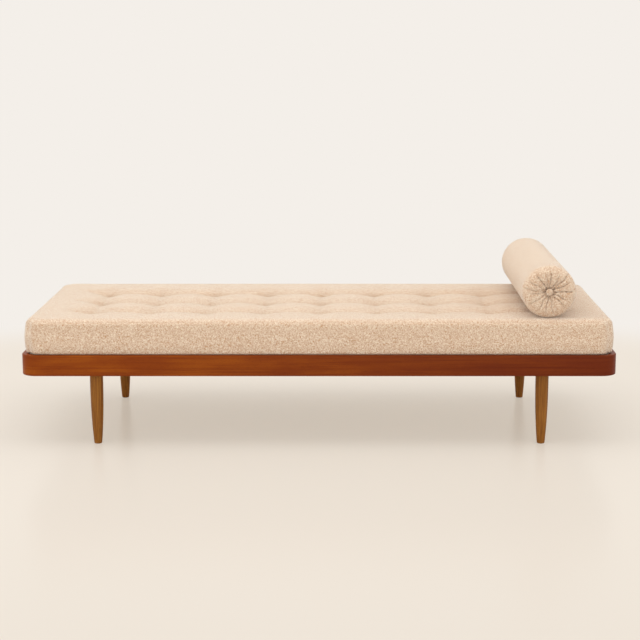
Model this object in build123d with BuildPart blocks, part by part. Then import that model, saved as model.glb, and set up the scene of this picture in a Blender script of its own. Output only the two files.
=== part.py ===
from build123d import *
import os

# A daybed: a wooden rim with bent corners on four turned legs, a slatted base inside the rim,
# a loose tufted mattress and a loose bolster with gathered ends. Lengths are in millimetres.
# The floor is Z = 0, X runs along the bed to its head end, and -Y is the front.

# Rim of straight rails and bent corners
frame_length = 1900.0
frame_width = 770.0
frame_clearance = 232.0
rail_height = 67.0
rail_thickness = 18.0
rail_edge_radius = 3.0
corner_radius = 50.0
corner_straight = 60.0

# Loose tenons that join the rails to the corners
tenon_length = 50.0
tenon_height = 36.0
tenon_thickness = 7.0
tenon_clearance = 0.1
tenon_glue_space = 1.0

# Countersunk wood screws
screw_flats = 8
screw_diameter = 4.0
screw_head_diameter = 8.4
screw_head_height = 2.6
screw_clearance = 0.1

# Ledgers along the inside of the long rails
ledger_width = 24.0
ledger_height = 22.0
ledger_end_gap = 5.0
ledger_screw_grip = 12.0
ledger_screw_drop = 8.0

# Slats across the bed, resting on the ledgers
slat_count = 14
slat_width = 68.0
slat_thickness = 14.0
slat_edge_radius = 3.0
slat_end_gap = 1.0
slat_screw_length = 30.0
slat_screw_from_rail = 6.0

# Bearers across the bed, which tie the long rails and carry the legs
leg_bearer_width = 70.0
centre_bearer_width = 45.0
bearer_setback = 1.0
bearer_chamfer = 3.0
bearer_screw_length = 28.0
bearer_screw_from_rail = 18.0
bearer_screw_spread = 50.0
centre_screw_spread = 26.0

# Turned legs
leg_end_inset = 234.0
leg_side_inset = 56.0
leg_flats = 24
leg_diameter = 42.0
leg_belly_height = 185.0
leg_knee_diameter = 35.0
leg_knee_height = 66.0
sole_diameter = 24.8
sole_chamfer = 1.5

# Hanger bolts from the legs into tee nuts sunk in the bearers
bolt_diameter = 10.0
bolt_root_diameter = 8.0
bolt_grip = 40.0
bolt_top_gap = 2.0
bolt_clearance = 0.1
bolt_flats = 12
tee_flange_diameter = 24.0
tee_flange_thickness = 2.0
tee_barrel_diameter = 12.0
tee_barrel_length = 14.0
tee_clearance = 0.1

# Loose mattress: a foam core in a padded and tufted cover
soft_clearance = 0.3
mattress_thickness = 125.7
mattress_recess = 12.0
mattress_rim_gap = 2.0
mattress_end_inset = 12.0
mattress_side_inset = 7.0
mattress_corner_radius = 36.0
mattress_belly_rise = 52.0
mattress_flare = 16.0
mattress_flare_draw = 2.5
mattress_top_draw = 5.0
mattress_top_round = 18.0
cover_wall = 6.0
top_padding = 24.0

# Tufts: tape through the mattress between a small covered button and a square of felt
tuft_columns = 9
tuft_rows = 3
tuft_end_margin = 199.0
tuft_side_margin = 192.0
tuft_depth = 20.0
tuft_reach = 48.0
crease_row_depth = 10.0
crease_column_depth = 6.0
crease_overrun = 90.0
crease_rise = 10.0
crease_end_slope = 80.0
crease_width_share = 0.72
crease_shoulder_share = 0.55
crease_shoulder_drop_share = 0.3
tuft_button_flats = 8
tuft_button_diameter = 13.0
tuft_button_crown_diameter = 7.0
tuft_button_edge = 1.5
tuft_button_height = 4.0
tuft_seat_clearance = 0.5
tape_width = 4.0
tape_clearance = 0.1
felt_width = 16.0
felt_thickness = 3.0
felt_recess = 3.5

# Loose bolster: a round core in a cover gathered to a button at each end
bolster_length = 720.0
bolster_radius = 86.0
bolster_from_end = 219.0
bolster_flat = 3.5
bolster_rim_round = 24.0
bolster_crest_radius = 46.0
bolster_padding = 7.0
bolster_end_padding = 22.0
gather_count = 16
gather_width = 3.0
gather_reach = 75.0
gather_depth = 3.5
gather_rim_drop = 11.0
gather_lead = 2.0
button_flats = 16
button_diameter = 23.0
button_height = 9.0
button_edge = 3.0
button_taper = 40.0
button_clearance = 0.4
button_seat_depth = 8.0
button_seat_slope = 4.0

# Levels from the floor up
rail_bottom = frame_clearance
rail_top = rail_bottom + rail_height
rail_middle = rail_bottom + rail_height / 2
slat_top = rail_top - mattress_recess
ledger_top = slat_top - slat_thickness
ledger_middle = ledger_top - ledger_height / 2
bearer_bottom = rail_bottom + bearer_setback
bearer_height = ledger_top - bearer_bottom
mattress_bottom = slat_top + soft_clearance
mattress_top = mattress_bottom + mattress_thickness
mattress_belly = rail_top + mattress_belly_rise
bolster_bottom = mattress_top + soft_clearance
bolster_axis = bolster_bottom + bolster_radius - bolster_flat

# Places in plan
rail_line_x = (frame_length - rail_thickness) / 2
rail_line_y = (frame_width - rail_thickness) / 2
joint_x = frame_length / 2 - corner_radius - corner_straight
joint_y = frame_width / 2 - corner_radius - corner_straight
inner_length = frame_length - 2 * rail_thickness
inner_width = frame_width - 2 * rail_thickness
slat_pitch = inner_length / slat_count
leg_x = frame_length / 2 - leg_end_inset
leg_y = frame_width / 2 - leg_side_inset
bolster_x = frame_length / 2 - bolster_from_end

os.makedirs("parts", exist_ok=True)


def plan_outline(inset_x, inset_y, radius):
    """Draw a rounded rectangle inset from the outer edges of the rim."""
    RectangleRounded(frame_length - 2 * inset_x, frame_width - 2 * inset_y, radius)


def long_joint(side_x, side_y):
    """Place of the tenon between a long rail and a corner, lying along X."""
    return Location((side_x * joint_x, side_y * rail_line_y, rail_middle))


def short_joint(side_x, side_y):
    """Place of the tenon between an end rail and a corner, lying along Y."""
    return Location((side_x * rail_line_x, side_y * joint_y, rail_middle), (0, 0, 90))


def mortise(*places):
    """Cut the seats of loose tenons, with clearance and space for glue."""
    with Locations(*places):
        Box(
            tenon_length + 2 * tenon_glue_space,
            tenon_thickness + 2 * tenon_clearance,
            tenon_height + 2 * tenon_clearance,
            mode=Mode.SUBTRACT,
        )


def rail_section(outward):
    """Draw the section of the rim: rounded edges on its outer face, square ones inside."""
    RectangleRounded(rail_thickness, rail_height, rail_edge_radius)
    with Locations((-outward * rail_thickness / 4, 0)):
        Rectangle(rail_thickness / 2, rail_height)


def ledger_screw_places(side):
    """Head places of the screws that hold a ledger, under every second gap between slats."""
    face_y = side * (inner_width / 2 - ledger_width)
    height = ledger_top - ledger_screw_drop
    return [
        Plane(origin=(gap * slat_pitch - inner_length / 2, face_y, height), z_dir=(0, -side, 0)).location
        for gap in range(1, slat_count, 2)
    ]


def slat_screw_places(side):
    """Head places of the screws through the slat ends on one side."""
    screw_y = side * (inner_width / 2 - slat_screw_from_rail)
    return [
        Location(((number + 0.5) * slat_pitch - inner_length / 2, screw_y, slat_top))
        for number in range(slat_count)
    ]


def bearer_screw_places(centre_x, spread):
    """Head places of the screws driven up through the ends of a bearer."""
    screw_y = inner_width / 2 - bearer_screw_from_rail
    return [
        Location((centre_x + offset, side * screw_y, bearer_bottom), (180, 0, 0))
        for offset in (-spread / 2, spread / 2)
        for side in (-1, 1)
    ]


def wood_screw(length, clearance=0):
    """A countersunk screw, or its bore, that points down from its head at the origin."""
    shank_radius = screw_diameter / 2 + clearance
    with BuildPart() as screw:
        with BuildSketch():
            RegularPolygon(screw_head_diameter / 2 + clearance, screw_flats)
        with BuildSketch(Plane.XY.offset(-screw_head_height)):
            RegularPolygon(shank_radius, screw_flats)
        loft(ruled=True)
        with BuildSketch(Plane.XY.offset(-screw_head_height)):
            RegularPolygon(shank_radius, screw_flats)
        extrude(amount=screw_head_height - length - clearance)
    return screw.part


ledger_screw_length = ledger_width + ledger_screw_grip
ledger_screw = wood_screw(ledger_screw_length)
ledger_screw_hole = wood_screw(ledger_screw_length, screw_clearance)
slat_screw = wood_screw(slat_screw_length)
slat_screw_hole = wood_screw(slat_screw_length, screw_clearance)
bearer_screw = wood_screw(bearer_screw_length)
bearer_screw_hole = wood_screw(bearer_screw_length, screw_clearance)
bearer_screws_left = bearer_screw_places(-leg_x, bearer_screw_spread)
bearer_screws_right = bearer_screw_places(leg_x, bearer_screw_spread)
bearer_screws_centre = bearer_screw_places(0, centre_screw_spread)
all_bearer_screws = bearer_screws_left + bearer_screws_centre + bearer_screws_right

# Long rails, cut for the corner tenons and bored for the ledger screws
for name, side in (("front_rail", -1), ("rear_rail", 1)):
    with BuildPart() as rail:
        with BuildSketch(Plane.YZ.offset(-joint_x)):
            with Locations((side * rail_line_y, rail_middle)):
                rail_section(side)
        extrude(amount=2 * joint_x)
        mortise(long_joint(-1, side), long_joint(1, side))
        with Locations(*ledger_screw_places(side)):
            add(ledger_screw_hole, mode=Mode.SUBTRACT)
    rail.part.label = name
    export_step(rail.part, f"parts/{name}.step")

# End rails
for name, side in (("foot_end_rail", -1), ("head_end_rail", 1)):
    with BuildPart() as rail:
        with BuildSketch(Plane.XZ.offset(-joint_y)):
            with Locations((side * rail_line_x, rail_middle)):
                rail_section(side)
        extrude(amount=2 * joint_y)
        mortise(short_joint(side, -1), short_joint(side, 1))
    rail.part.label = name
    export_step(rail.part, f"parts/{name}.step")

# Bent corners: the rail section carried along a straight, a quarter bend and a straight
for name, side_x, side_y in (
    ("corner_front_left", -1, -1),
    ("corner_front_right", 1, -1),
    ("corner_rear_left", -1, 1),
    ("corner_rear_right", 1, 1),
):
    with BuildPart() as corner:
        with BuildLine(Plane.XY.offset(rail_middle)) as bend:
            FilletPolyline(
                (side_x * joint_x, side_y * rail_line_y),
                (side_x * rail_line_x, side_y * rail_line_y),
                (side_x * rail_line_x, side_y * joint_y),
                radius=corner_radius - rail_thickness / 2,
            )
        with BuildSketch(Plane(origin=bend.line @ 0, x_dir=(0, 1, 0), z_dir=bend.line % 0)):
            rail_section(side_y)
        sweep()
        mortise(long_joint(side_x, side_y), short_joint(side_x, side_y))
    corner.part.label = name
    export_step(corner.part, f"parts/{name}.step")

# Loose tenons of the eight rim joints
with BuildPart() as corner_tenons:
    for side_x in (-1, 1):
        for side_y in (-1, 1):
            with Locations(long_joint(side_x, side_y), short_joint(side_x, side_y)):
                Box(tenon_length, tenon_thickness, tenon_height)
corner_tenons.part.label = "corner_tenons"
export_step(corner_tenons.part, "parts/corner_tenons.step")

# Ledgers, bored for their own screws and those of the slats and bearers
ledger_length = frame_length - 2 * (corner_radius + ledger_end_gap)
for name, side in (("front_ledger", -1), ("rear_ledger", 1)):
    with BuildPart() as ledger:
        with BuildSketch(Plane.YZ.offset(-ledger_length / 2)):
            with Locations((side * (inner_width - ledger_width) / 2, ledger_middle)):
                Rectangle(ledger_width, ledger_height)
        extrude(amount=ledger_length)
        with Locations(*ledger_screw_places(side)):
            add(ledger_screw_hole, mode=Mode.SUBTRACT)
        with Locations(*slat_screw_places(side)):
            add(slat_screw_hole, mode=Mode.SUBTRACT)
        with Locations(*all_bearer_screws):
            add(bearer_screw_hole, mode=Mode.SUBTRACT)
    ledger.part.label = name
    export_step(ledger.part, f"parts/{name}.step")

with BuildPart() as ledger_screws:
    with Locations(*ledger_screw_places(-1), *ledger_screw_places(1)):
        add(ledger_screw)
ledger_screws.part.label = "ledger_screws"
export_step(ledger_screws.part, "parts/ledger_screws.step")

# Bearers, notched at both ends to sit under the ledgers
tee_seat_radius = tee_flange_diameter / 2 + tee_clearance
tee_bore_radius = tee_barrel_diameter / 2 + tee_clearance
for name, centre_x, width, screw_places in (
    ("leg_bearer_left", -leg_x, leg_bearer_width, bearer_screws_left),
    ("centre_bearer", 0, centre_bearer_width, bearer_screws_centre),
    ("leg_bearer_right", leg_x, leg_bearer_width, bearer_screws_right),
):
    with BuildPart() as bearer:
        with BuildSketch(Plane.YZ.offset(centre_x - width / 2)):
            with Locations((0, bearer_bottom + bearer_height / 2)):
                Rectangle(inner_width, bearer_height)
            with Locations((0, ledger_middle)):
                with GridLocations(inner_width - ledger_width, 0, 2, 1):
                    Rectangle(ledger_width, ledger_height, mode=Mode.SUBTRACT)
        extrude(amount=width)
        chamfer(bearer.edges().filter_by(Axis.Y).group_by(Axis.Z)[0], bearer_chamfer)
        with Locations(*screw_places):
            add(bearer_screw_hole, mode=Mode.SUBTRACT)
        if centre_x:
            with Locations((centre_x, -leg_y, ledger_top), (centre_x, leg_y, ledger_top)):
                CounterBoreHole(tee_bore_radius, tee_seat_radius, tee_flange_thickness)
    bearer.part.label = name
    export_step(bearer.part, f"parts/{name}.step")

with BuildPart() as bearer_screws:
    with Locations(*all_bearer_screws):
        add(bearer_screw)
bearer_screws.part.label = "bearer_screws"
export_step(bearer_screws.part, "parts/bearer_screws.step")

# Slats, rounded along their upper edges
slat_length = inner_width - 2 * slat_end_gap
for number in range(slat_count):
    slat_x = (number + 0.5) * slat_pitch - inner_length / 2
    with BuildPart() as slat:
        with BuildSketch(Plane.XZ.offset(-slat_length / 2)) as section:
            with Locations((slat_x, slat_top - slat_thickness / 2)):
                Rectangle(slat_width, slat_thickness)
            fillet(section.vertices().group_by(Axis.Y)[-1], slat_edge_radius)
        extrude(amount=slat_length)
        with Locations(slat_screw_places(-1)[number], slat_screw_places(1)[number]):
            add(slat_screw_hole, mode=Mode.SUBTRACT)
    slat.part.label = f"slat_{number + 1:02d}"
    export_step(slat.part, f"parts/{slat.part.label}.step")

with BuildPart() as slat_screws:
    with Locations(*slat_screw_places(-1), *slat_screw_places(1)):
        add(slat_screw)
slat_screws.part.label = "slat_screws"
export_step(slat_screws.part, "parts/slat_screws.step")

# Legs turned to a long belly that narrows to a small sole
leg_height = bearer_bottom
leg_turning = (
    (0, sole_diameter),
    (leg_knee_height, leg_knee_diameter),
    (leg_belly_height, leg_diameter),
    (leg_height, leg_diameter),
)
for name, side_x, side_y in (
    ("leg_front_left", -1, -1),
    ("leg_front_right", 1, -1),
    ("leg_rear_left", -1, 1),
    ("leg_rear_right", 1, 1),
):
    foot = (side_x * leg_x, side_y * leg_y)
    with BuildPart() as leg:
        for height, diameter in leg_turning:
            with BuildSketch(Plane(origin=(foot[0], foot[1], height))):
                RegularPolygon(diameter / 2, leg_flats)
        loft()
        chamfer(leg.edges().group_by(Axis.Z)[0], sole_chamfer)
        with Locations((foot[0], foot[1], leg_height)):
            Hole(bolt_root_diameter / 2 + bolt_clearance, bolt_grip + bolt_clearance)
    leg.part.label = name
    export_step(leg.part, f"parts/{name}.step")

# Hanger bolts: a wood thread in the leg and a machine thread up into the tee nut
with BuildPart() as hanger_bolts:
    with BuildSketch(Plane.XY.offset(leg_height)):
        with GridLocations(2 * leg_x, 2 * leg_y, 2, 2):
            RegularPolygon(bolt_root_diameter / 2, bolt_flats)
    extrude(amount=-bolt_grip)
    with BuildSketch(Plane.XY.offset(leg_height)):
        with GridLocations(2 * leg_x, 2 * leg_y, 2, 2):
            RegularPolygon(bolt_diameter / 2, bolt_flats)
    extrude(amount=bearer_height - bolt_top_gap)
hanger_bolts.part.label = "hanger_bolts"
export_step(hanger_bolts.part, "parts/hanger_bolts.step")

# Tee nuts sunk flush in the tops of the leg bearers
with BuildPart() as tee_nuts:
    for diameter, depth in (
        (tee_flange_diameter, tee_flange_thickness),
        (tee_barrel_diameter, tee_barrel_length),
    ):
        with BuildSketch(Plane.XY.offset(ledger_top)):
            with GridLocations(2 * leg_x, 2 * leg_y, 2, 2):
                RegularPolygon(diameter / 2, bolt_flats)
        extrude(amount=-depth)
    with BuildSketch(Plane.XY.offset(ledger_top)):
        with GridLocations(2 * leg_x, 2 * leg_y, 2, 2):
            RegularPolygon(bolt_diameter / 2 + bolt_clearance, bolt_flats)
    extrude(amount=-tee_barrel_length, mode=Mode.SUBTRACT)
tee_nuts.part.label = "tee_nuts"
export_step(tee_nuts.part, "parts/tee_nuts.step")

# Grid of tufts over the mattress
tuft_pitch_x = (frame_length - 2 * (mattress_end_inset + tuft_end_margin)) / (tuft_columns - 1)
tuft_pitch_y = (frame_width - 2 * (mattress_side_inset + tuft_side_margin)) / (tuft_rows - 1)
tuft_seat_radius = tuft_button_diameter / 2 + tuft_seat_clearance
tape_hole_width = tape_width + 2 * tape_clearance

# Foam core, pierced by the tapes
tongue_inset = rail_thickness + mattress_rim_gap
tongue_radius = corner_radius - tongue_inset
core_bottom = mattress_bottom + cover_wall
core_top = mattress_top - top_padding
core_inset = tongue_inset + cover_wall
with BuildPart() as mattress_core:
    with BuildSketch(Plane.XY.offset(core_bottom)):
        plan_outline(core_inset, core_inset, corner_radius - core_inset)
    extrude(amount=core_top - core_bottom)
    core_blank = mattress_core.part
    with Locations(Plane.XY.offset(core_top)):
        with GridLocations(tuft_pitch_x, tuft_pitch_y, tuft_columns, tuft_rows):
            Box(
                tape_hole_width,
                tape_hole_width,
                mattress_thickness,
                align=(Align.CENTER, Align.CENTER, Align.MAX),
                mode=Mode.SUBTRACT,
            )
mattress_core.part.label = "mattress_core"
export_step(mattress_core.part, "parts/mattress_core.step")

# Funnel that a drawn-in tie leaves in the padding, level with the top at its rim
with BuildPart() as tuft_funnel:
    Wedge(
        2 * tuft_reach,
        tuft_depth,
        2 * tuft_reach,
        tuft_reach - tuft_seat_radius,
        tuft_reach - tuft_seat_radius,
        tuft_reach + tuft_seat_radius,
        tuft_reach + tuft_seat_radius,
        rotation=(-90, 0, 0),
        align=(Align.CENTER, Align.MIN, Align.CENTER),
    )


def crease(span, pitch, depth):
    """A crease along a line of ties: a long trough with sloped ends and a shoulder on each side."""
    end = span / 2 + crease_overrun
    half = crease_width_share * pitch / 2
    shoulder = (crease_shoulder_share * half, -crease_shoulder_drop_share * depth)
    with BuildPart() as trough:
        with BuildSketch(Plane.YZ.offset(-end)):
            with BuildLine():
                Polyline(
                    (half, crease_rise),
                    (half, 0),
                    shoulder,
                    (0, -depth),
                    (-shoulder[0], shoulder[1]),
                    (-half, 0),
                    (-half, crease_rise),
                    close=True,
                )
            make_face()
        extrude(amount=2 * end)
        for side in (-1, 1):
            slope = Plane(origin=(side * end, 0, 0), z_dir=(side * depth, 0, -crease_end_slope))
            split(bisect_by=slope, keep=Keep.BOTTOM)
    return trough.part


row_crease = crease((tuft_columns - 1) * tuft_pitch_x, tuft_pitch_y, crease_row_depth)
column_crease = crease((tuft_rows - 1) * tuft_pitch_y, tuft_pitch_x, crease_column_depth)

# Cover: a tongue inside the rim, sides that swell over it and draw in at the top, and the tufts
side_levels = (
    (rail_top, tongue_inset, tongue_inset, tongue_radius),
    (
        rail_top + mattress_flare,
        mattress_end_inset + mattress_flare_draw,
        mattress_side_inset + mattress_flare_draw,
        mattress_corner_radius,
    ),
    (mattress_belly, mattress_end_inset, mattress_side_inset, mattress_corner_radius),
    (
        mattress_top,
        mattress_end_inset + mattress_top_draw,
        mattress_side_inset + mattress_top_draw,
        mattress_corner_radius,
    ),
)
with BuildPart() as mattress_cover:
    with BuildSketch(Plane.XY.offset(mattress_bottom)):
        plan_outline(tongue_inset, tongue_inset, tongue_radius)
    extrude(amount=rail_top - mattress_bottom)
    for height, inset_x, inset_y, radius in side_levels:
        with BuildSketch(Plane.XY.offset(height)):
            plan_outline(inset_x, inset_y, radius)
    loft()
    fillet(mattress_cover.edges().group_by(Axis.Z)[-1], mattress_top_round)
    with Locations(Plane.XY.offset(mattress_top)):
        with GridLocations(0, tuft_pitch_y, 1, tuft_rows):
            add(row_crease, mode=Mode.SUBTRACT)
        with GridLocations(tuft_pitch_x, 0, tuft_columns, 1):
            add(column_crease, rotation=(0, 0, 90), mode=Mode.SUBTRACT)
        with GridLocations(tuft_pitch_x, tuft_pitch_y, tuft_columns, tuft_rows):
            add(tuft_funnel.part, mode=Mode.SUBTRACT)
            Box(
                tape_hole_width,
                tape_hole_width,
                mattress_thickness,
                align=(Align.CENTER, Align.CENTER, Align.MAX),
                mode=Mode.SUBTRACT,
            )
    with Locations(Plane.XY.offset(mattress_bottom)):
        with GridLocations(tuft_pitch_x, tuft_pitch_y, tuft_columns, tuft_rows):
            Box(
                felt_width + 2 * tuft_seat_clearance,
                felt_width + 2 * tuft_seat_clearance,
                felt_recess,
                align=(Align.CENTER, Align.CENTER, Align.MIN),
                mode=Mode.SUBTRACT,
            )
    add(core_blank, mode=Mode.SUBTRACT)
mattress_cover.part.label = "mattress_cover"
export_step(mattress_cover.part, "parts/mattress_cover.step")

# Tuft ties: button on top, tape through the mattress, felt sunk in the underside
tie_length = mattress_thickness - tuft_depth - felt_recess
with BuildPart() as tuft_tie:
    with BuildSketch(Plane.XY.offset(-tie_length)):
        Rectangle(felt_width, felt_width)
    extrude(amount=-felt_thickness)
    with BuildSketch(Plane.XY.offset(-tie_length)):
        Rectangle(tape_width, tape_width)
    extrude(amount=tie_length)
    with BuildSketch():
        RegularPolygon(tuft_button_diameter / 2, tuft_button_flats)
    extrude(amount=tuft_button_edge)
    with BuildSketch(Plane.XY.offset(tuft_button_edge)):
        RegularPolygon(tuft_button_diameter / 2, tuft_button_flats)
    with BuildSketch(Plane.XY.offset(tuft_button_height)):
        RegularPolygon(tuft_button_crown_diameter / 2, tuft_button_flats)
    loft(ruled=True)

with BuildPart() as tuft_ties:
    with Locations(Plane.XY.offset(mattress_top - tuft_depth)):
        with GridLocations(tuft_pitch_x, tuft_pitch_y, tuft_columns, tuft_rows):
            add(tuft_tie.part)
tuft_ties.part.label = "tuft_ties"
export_step(tuft_ties.part, "parts/tuft_ties.step")

# Bolster core
bolster_end = bolster_length / 2
bolster_centre = (bolster_x, 0, bolster_axis)
bolster_line = Axis(bolster_centre, (0, 1, 0))
with BuildPart() as bolster_core:
    with BuildSketch(Plane(origin=bolster_centre, z_dir=(0, 1, 0))):
        Circle(bolster_radius - bolster_padding)
    extrude(amount=bolster_end - bolster_end_padding, both=True)
bolster_core.part.label = "bolster_core"
export_step(bolster_core.part, "parts/bolster_core.step")

# One radial crease of the gathers, from the button seat out towards the rim
button_seat_radius = button_diameter / 2 + button_clearance
with BuildPart() as gather_crease:
    with BuildSketch(Plane.XZ):
        with BuildLine():
            Polyline(
                (button_seat_radius - gather_lead, -button_seat_slope - gather_depth),
                (bolster_crest_radius, -gather_depth),
                (gather_reach, -gather_rim_drop),
                (gather_reach, gather_depth),
                (button_seat_radius - gather_lead, gather_depth),
                close=True,
            )
        make_face()
    extrude(amount=gather_width / 2, both=True)

# Bolster cover: a roll with rounded rims, gathered ends and a seat for each button
with BuildPart() as bolster_cover:
    with BuildSketch(Plane(origin=bolster_centre, x_dir=(0, 1, 0), z_dir=(1, 0, 0))):
        with BuildLine():
            Line((0, 0), (bolster_end - button_seat_depth, 0))
            Line(
                (bolster_end - button_seat_depth, 0),
                (bolster_end - button_seat_depth, button_seat_radius),
            )
            Line(
                (bolster_end - button_seat_depth, button_seat_radius),
                (bolster_end - button_seat_slope, button_seat_radius),
            )
            TangentArc(
                (bolster_end, bolster_crest_radius),
                (bolster_end - button_seat_slope, button_seat_radius),
                tangent=(0, -1),
            )
            TangentArc(
                (bolster_end, bolster_crest_radius),
                (bolster_end - bolster_rim_round, bolster_radius),
                tangent=(0, 1),
            )
            Line((bolster_end - bolster_rim_round, bolster_radius), (0, bolster_radius))
            Line((0, bolster_radius), (0, 0))
        make_face()
    revolve(axis=bolster_line)
    mirror(about=Plane.XZ)
    for side in (-1, 1):
        end_face = Plane(origin=(bolster_x, side * bolster_end, bolster_axis), z_dir=(0, side, 0))
        with Locations(end_face):
            with PolarLocations(0, gather_count):
                add(gather_crease.part, mode=Mode.SUBTRACT)
    split(bisect_by=Plane.XY.offset(bolster_bottom), keep=Keep.TOP)
    add(bolster_core.part, mode=Mode.SUBTRACT)
bolster_cover.part.label = "bolster_cover"
export_step(bolster_cover.part, "parts/bolster_cover.step")

# Covered buttons sewn into the gathered ends
for name, side in (("bolster_button_front", -1), ("bolster_button_rear", 1)):
    seat_y = side * (bolster_end - button_seat_depth)
    with BuildPart() as button:
        for height, amount, taper in (
            (0, button_edge, 0),
            (button_edge, button_height - button_edge, button_taper),
        ):
            place = (bolster_x, seat_y + side * height, bolster_axis)
            with BuildSketch(Plane(origin=place, x_dir=(1, 0, 0), z_dir=(0, side, 0))):
                RegularPolygon(button_diameter / 2, button_flats)
            extrude(amount=amount, taper=taper)
    button.part.label = name
    export_step(button.part, f"parts/{name}.step")
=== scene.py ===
import bpy
import numpy as np
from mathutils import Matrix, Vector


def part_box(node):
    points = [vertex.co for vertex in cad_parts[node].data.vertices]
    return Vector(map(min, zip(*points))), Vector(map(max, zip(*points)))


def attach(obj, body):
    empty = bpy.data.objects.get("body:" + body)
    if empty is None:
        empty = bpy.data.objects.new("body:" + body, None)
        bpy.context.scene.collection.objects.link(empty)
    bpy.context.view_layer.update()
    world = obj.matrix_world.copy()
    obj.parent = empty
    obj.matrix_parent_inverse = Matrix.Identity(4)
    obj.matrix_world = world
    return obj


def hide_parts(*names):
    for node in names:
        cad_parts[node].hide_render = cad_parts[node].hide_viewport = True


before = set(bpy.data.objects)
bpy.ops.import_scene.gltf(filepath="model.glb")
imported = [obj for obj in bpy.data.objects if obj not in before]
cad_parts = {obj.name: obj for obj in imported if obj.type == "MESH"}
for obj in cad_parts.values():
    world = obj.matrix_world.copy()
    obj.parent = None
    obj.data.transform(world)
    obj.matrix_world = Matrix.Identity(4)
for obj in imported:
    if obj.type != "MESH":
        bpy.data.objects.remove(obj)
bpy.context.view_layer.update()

# Rim: four straight rails and four bent corners of oiled teak, glued end to end round loose tenons,
# then planed flush and rounded over along the outer edges. The grain runs round the bends in one band.
mm = 0.001
rim_corner_radius = 50 * mm
rim_outer_round = 3 * mm
rim_inner_round = 1 * mm
rim_station = 5 * mm
rim_round_steps = 6
teak_streak_size = np.array((312.5, 5.26, 5.26)) * mm
teak_patch_size = np.array((166.7, 35.7, 35.7)) * mm
teak_pore_size = np.array((7.69, 0.667, 0.667)) * mm
teak_pore_depth = 0.3 * mm
# Each tone of the teak, first at the darker red end and then at the orange end, which is painted lighter
# as if lit from the left.
teak_streak_tones = ("60220C", "7E350B")
teak_dark_tones = ("6A2810", "893E0C")
teak_light_tones = ("722E0F", "9B4E10")
teak_pore_tone = "461605"


def grid_faces(rows, columns, ring=False):
    """Quads between the rows of a grid of points; a ring also joins the last column to the first."""
    row = np.arange(rows - 1)[:, None] * columns
    column = np.arange(columns if ring else columns - 1)[None, :]
    beside = (column + 1) % columns
    corners = (row + column, row + columns + column, row + columns + beside, row + beside)
    return np.stack(np.broadcast_arrays(*corners), -1).reshape(-1, 4)


def tube_faces(rows, columns):
    """Quads of a tube whose rows are closed rings, with one face over each end ring."""
    sides = grid_faces(rows, columns, ring=True).tolist()
    first = np.arange(columns).tolist()
    last = (np.arange(columns)[::-1] + (rows - 1) * columns).tolist()
    return sides + [first, last]


def new_piece(name, points, faces, crease=40):
    """Mesh object from points and faces, smooth except where faces meet at more than the crease angle,
    in degrees."""
    mesh = bpy.data.meshes.new(name)
    mesh.from_pydata(points.reshape(-1, 3).tolist(), [], faces)
    mesh.polygons.foreach_set("use_smooth", np.ones(len(mesh.polygons), bool))
    mesh.set_sharp_from_angle(angle=np.radians(crease))
    mesh.validate()
    piece = bpy.data.objects.new(name, mesh)
    bpy.context.scene.collection.objects.link(piece)
    return piece


def rounded_section(low, high, rounds):
    """Rectangle outline with rounded corners, anticlockwise from the lower right one: a quarter circle
    at each corner, about a centre that is set in by its radius."""
    rounds = np.array(rounds)[:, None]
    side = np.array(((1, -1), (1, 1), (-1, 1), (-1, -1)))
    corner = np.where(side > 0, high, low)
    turn = np.radians((-90, 0, 90, 180))[:, None] + np.linspace(0, np.pi / 2, rim_round_steps)
    across = corner[:, :1] - side[:, :1] * rounds + rounds * np.cos(turn)
    up = corner[:, 1:] - side[:, 1:] * rounds + rounds * np.sin(turn)
    return np.stack((across, up), -1).reshape(-1, 2)


rail_low, rail_high = np.array(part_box("front_rail"))
head_high = np.array(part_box("head_end_rail"))[1]
rail_thickness = rail_high[1] - rail_low[1]
rim_bend = rim_corner_radius - rail_thickness / 2
joint_x = rail_high[0]
joint_y = head_high[1]
bend_x = head_high[0] - rim_corner_radius
bend_y = -rail_low[1] - rim_corner_radius

# The centre line's runs, straight and bent in turn, from the front left joint round to the same joint.
rim_runs = np.array((
    joint_x + bend_x, rim_bend * np.pi / 2, 2 * bend_y, rim_bend * np.pi / 2, 2 * bend_x,
    rim_bend * np.pi / 2, 2 * bend_y, rim_bend * np.pi / 2, bend_x - joint_x,
))
rim_marks = np.concatenate(([0], np.cumsum(rim_runs)))
rim_mark_x = np.array((-joint_x, *(bend_x,) * 4, *(-bend_x,) * 4, -joint_x))
rim_mark_y = np.array((*(-bend_y,) * 3, *(bend_y,) * 4, *(-bend_y,) * 3))
rim_mark_turn = np.radians((-90, -90, 0, 0, 90, 90, 180, 180, 270, 270))


def rim_line(along):
    """Centre line of the rim and its outward direction, at distances along it from the front left
    joint. A point goes round a rectangle that is smaller by the bend radius, and the line lies that
    radius outside it. On each run the point moves, or the direction turns, evenly with the distance."""
    turn = np.interp(along, rim_marks, rim_mark_turn)
    outward = np.stack((np.cos(turn), np.sin(turn)), -1)
    inner_x = np.interp(along, rim_marks, rim_mark_x)
    inner_y = np.interp(along, rim_marks, rim_mark_y)
    return np.stack((inner_x, inner_y), -1) + rim_bend * outward, outward


def srgb(code):
    """Linear colour of a six-digit sRGB hex value: the sRGB curve undone for each channel."""
    share = np.array([int(code[place:place + 2], 16) for place in (0, 2, 4)]) / 255
    linear = np.where(share <= 0.04045, share / 12.92, ((share + 0.055) / 1.055) ** 2.4)
    return (*linear.tolist(), 1.0)


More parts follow.
